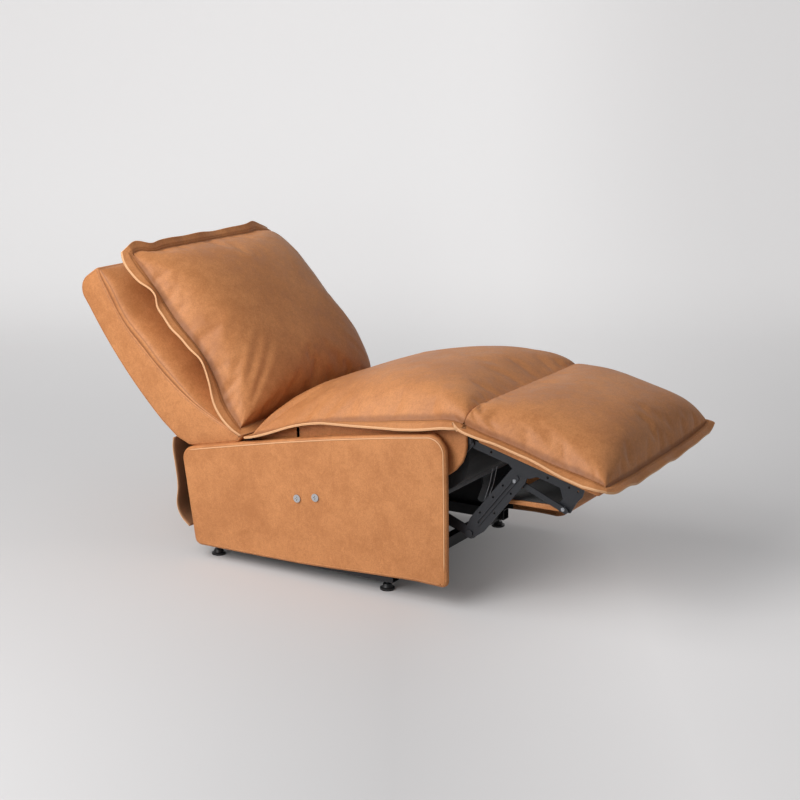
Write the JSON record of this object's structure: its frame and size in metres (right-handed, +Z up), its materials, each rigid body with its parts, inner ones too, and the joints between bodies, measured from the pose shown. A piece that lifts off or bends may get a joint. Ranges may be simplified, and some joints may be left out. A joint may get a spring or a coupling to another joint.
{
  "type": "recliner armchair",
  "caption": "Leather power recliner seat with side panels, a reclining back and a fold-out footrest on a steel linkage.",
  "frame": {"origin": "on the floor, under the middle of the recliner's outer box", "axes": "+Z up, -Y the way the sitter faces, -X the sitter's right"},
  "size_m": [0.707, 1.5687, 0.8267],
  "materials": {
    "black_cloth": "matte",
    "black_plastic": "matte",
    "black_steel": "satin",
    "leather": "satin",
    "nickel": "polished",
    "timber": "matte, dark stained",
    "zinc_steel": "bright"
  },
  "bodies": {
    "base": {"side_panel_cover_right": "leather", "side_panel_cover_left": "leather", "side_panel_board_right": "timber", "side_panel_board_left": "timber", "connector_bolts": "nickel", "cam_plate_right": "black_steel", "cam_plate_left": "black_steel", "base_rail_right": "black_steel", "base_rail_left": "black_steel", "base_cross_tube_front": "black_steel", "base_cross_tube_rear": "black_steel", "levelling_feet": "black_plastic", "foot_stems": "black_steel", "recline_actuator_rail": "black_steel", "recline_motor": "black_plastic"},
    "seat": {"seat_plate_right": "black_steel", "seat_plate_left": "black_steel", "seat_side_rail_right": "timber", "seat_side_rail_left": "timber", "seat_rear_rail": "timber", "seat_front_rail": "leather", "seat_cross_tubes": "black_steel", "seat_guide_pins": "zinc_steel", "seat_springs": "zinc_steel", "seat_deck_pad": "black_cloth", "seat_cushion": "leather", "rear_skirt": "leather", "footrest_actuator_rail": "black_steel", "footrest_motor": "black_plastic", "recline_actuator_block": "black_plastic"},
    "back": {"back_arm_right": "black_steel", "back_arm_left": "black_steel", "back_shell": "leather", "back_front_pad": "leather", "back_cushion": "leather", "back_cross_bars": "black_steel", "back_pins": "zinc_steel", "back_timber_rails": "timber"},
    "footrest": {"footrest_bracket_right": "black_steel", "footrest_bracket_left": "black_steel", "footrest_board": "leather", "footrest_underlining": "black_cloth", "footrest_cushion": "leather", "footrest_rivets": "black_steel"},
    "extension_links": {"extension_link_right": "black_steel", "extension_link_left": "black_steel", "stay_upper_rivets": "zinc_steel"},
    "drive": {"drive_tube": "black_steel", "rocker_right": "black_steel", "rocker_left": "black_steel", "drive_crank": "zinc_steel"},
    "actuator_link": {"actuator_link": "black_steel"},
    "actuator_block": {"footrest_actuator_block": "black_plastic"},
    "apron": {"apron_board": "leather", "apron_lining": "black_cloth", "apron_ears": "black_steel", "stay_lower_rivets": "zinc_steel"},
    "apron_stays": {"apron_stay_right": "black_steel", "apron_stay_left": "black_steel"}
  },
  "joints": [
    {"name": "back_recline", "type": "hinge", "parent": "seat", "child": "back", "pos_m": [0, 0.28, 0.33], "axis": [1, 0, 0], "range_deg": [0, 24]},
    {"name": "seat_slide", "type": "slide", "parent": "base", "child": "seat", "axis": [0, 1, 0], "range_m": [0, 0.022]},
    {"name": "footrest_fold", "type": "hinge", "parent": "seat", "child": "footrest", "pos_m": [0, -0.392, 0.421], "axis": [1, 0, 0], "range_deg": [0, 75]},
    {"name": "link_turn", "type": "hinge", "parent": "footrest", "child": "extension_links", "pos_m": [0, -0.535, 0.369], "axis": [1, 0, 0], "range_deg": [-75, 0]},
    {"name": "drive_turn", "type": "hinge", "parent": "seat", "child": "drive", "pos_m": [0, -0.245, 0.236], "axis": [1, 0, 0], "range_deg": [0, 75]},
    {"name": "actuator_link_turn", "type": "hinge", "parent": "drive", "child": "actuator_link", "pos_m": [0, -0.22444, 0.15352], "axis": [1, 0, 0], "range_deg": [-150, 0]},
    {"name": "block_turn", "type": "hinge", "parent": "actuator_link", "child": "actuator_block", "pos_m": [0, -0.20387, 0.236], "axis": [1, 0, 0], "range_deg": [0, 75]},
    {"name": "apron_turn", "type": "hinge", "parent": "footrest", "child": "apron", "pos_m": [0, -0.6595, 0.31516], "axis": [1, 0, 0], "range_deg": [-75, 0]},
    {"name": "stay_turn", "type": "hinge", "parent": "extension_links", "child": "apron_stays", "pos_m": [0, -0.50701, 0.33377], "axis": [1, 0, 0], "range_deg": [0, 75]}
  ],
  "couplings": [
    {"joint": "seat_slide", "follows": "back_recline", "m_per_rad": 0.052521},
    {"joint": "link_turn", "follows": "footrest_fold", "ratio": -1},
    {"joint": "drive_turn", "follows": "footrest_fold", "ratio": 1},
    {"joint": "actuator_link_turn", "follows": "footrest_fold", "ratio": -2},
    {"joint": "block_turn", "follows": "footrest_fold", "ratio": 1},
    {"joint": "apron_turn", "follows": "footrest_fold", "ratio": -1},
    {"joint": "stay_turn", "follows": "footrest_fold", "ratio": 1}
  ]
}
